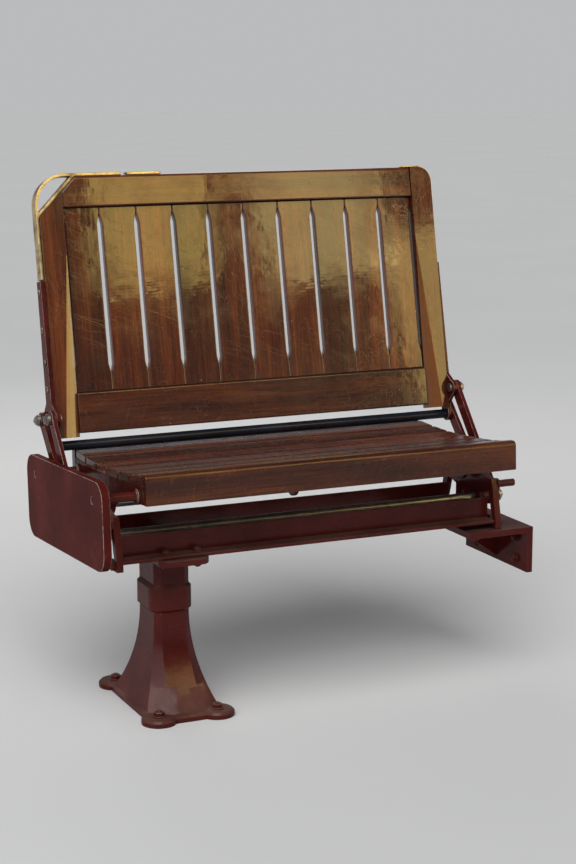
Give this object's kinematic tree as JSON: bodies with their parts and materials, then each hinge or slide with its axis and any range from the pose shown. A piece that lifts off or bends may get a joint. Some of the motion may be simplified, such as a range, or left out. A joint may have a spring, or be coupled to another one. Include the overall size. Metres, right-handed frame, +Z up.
{
  "type": "reversible tram seat",
  "caption": "Wooden two-person tram seat with a slatted walk-over back, brass corner handle, rocking slatted pan, painted cover plate and flared cast-iron pedestal.",
  "frame": {"origin": "centre of the pedestal foot on the floor", "axes": "+X across the seat from the aisle to the wall, -Y the way the passenger faces at rest, +Z up"},
  "size_m": [0.903, 0.4903, 0.9579],
  "materials": {
    "back_wood": "varnished mahogany",
    "seat_wood": "varnished mahogany",
    "brass": "rubbed dull brass",
    "painted_iron": "gloss maroon-brown paint",
    "worn_steel": "oiled steel"
  },
  "bodies": {
    "frame": {"pedestal": "painted_iron", "pedestal_head": "painted_iron", "cross_rail_front": "painted_iron", "cross_rail_rear": "painted_iron", "end_casting_aisle": "painted_iron", "end_casting_wall": "painted_iron", "wall_bracket": "painted_iron", "rock_shaft": "worn_steel", "link_pin_aisle": "worn_steel", "link_pin_wall": "worn_steel"},
    "arms": {"arm_aisle": "painted_iron", "arm_wall": "painted_iron", "torque_shaft": "worn_steel"},
    "links": {"link_aisle": "painted_iron", "link_wall": "painted_iron"},
    "back": {"stile_aisle": "back_wood", "stile_wall": "back_wood", "top_rail": "back_wood", "bottom_rail": "back_wood", "back_slat_01": "back_wood", "back_slat_02": "back_wood", "back_slat_03": "back_wood", "back_slat_04": "back_wood", "back_slat_05": "back_wood", "back_slat_06": "back_wood", "back_slat_07": "back_wood", "back_slat_08": "back_wood", "back_slat_09": "back_wood", "back_slat_10": "back_wood", "brass_handle": "brass", "brass_plate": "brass", "corner_cap": "brass", "side_iron_aisle": "painted_iron", "side_iron_wall": "painted_iron", "knuckle_pins_aisle": "worn_steel", "knuckle_pins_wall": "worn_steel", "back_tie_bar": "painted_iron"},
    "pan": {"seat_slats": "seat_wood", "apron_front": "seat_wood", "apron_rear": "seat_wood", "pan_end_aisle": "painted_iron", "pan_end_wall": "painted_iron", "pan_rib_middle": "painted_iron", "cover_plate": "painted_iron", "cover_standoffs": "painted_iron"}
  },
  "joints": [
    {"name": "back_swing", "type": "hinge", "parent": "frame", "child": "arms", "pos_m": [0, -0.0228, 0.33], "axis": [1, 0, 0], "range_deg": [0, 84.39]},
    {"name": "link_swing", "type": "hinge", "parent": "frame", "child": "links", "pos_m": [0, 0.0211, 0.33], "axis": [1, 0, 0], "range_deg": [0, 84.49]},
    {"name": "back_hinge", "type": "hinge", "parent": "arms", "child": "back", "pos_m": [0, 0.1356, 0.51798], "axis": [1, 0, 0], "range_deg": [-61.49, 0]},
    {"name": "pan_rock", "type": "hinge", "parent": "frame", "child": "pan", "pos_m": [0, 0, 0.385], "axis": [1, 0, 0], "range_deg": [0, 6.62]}
  ],
  "couplings": [
    {"joint": "link_swing", "follows": "back_swing", "ratio": 1},
    {"joint": "back_hinge", "follows": "back_swing", "ratio": -0.72746},
    {"joint": "pan_rock", "follows": "back_swing", "ratio": 0.078208}
  ]
}
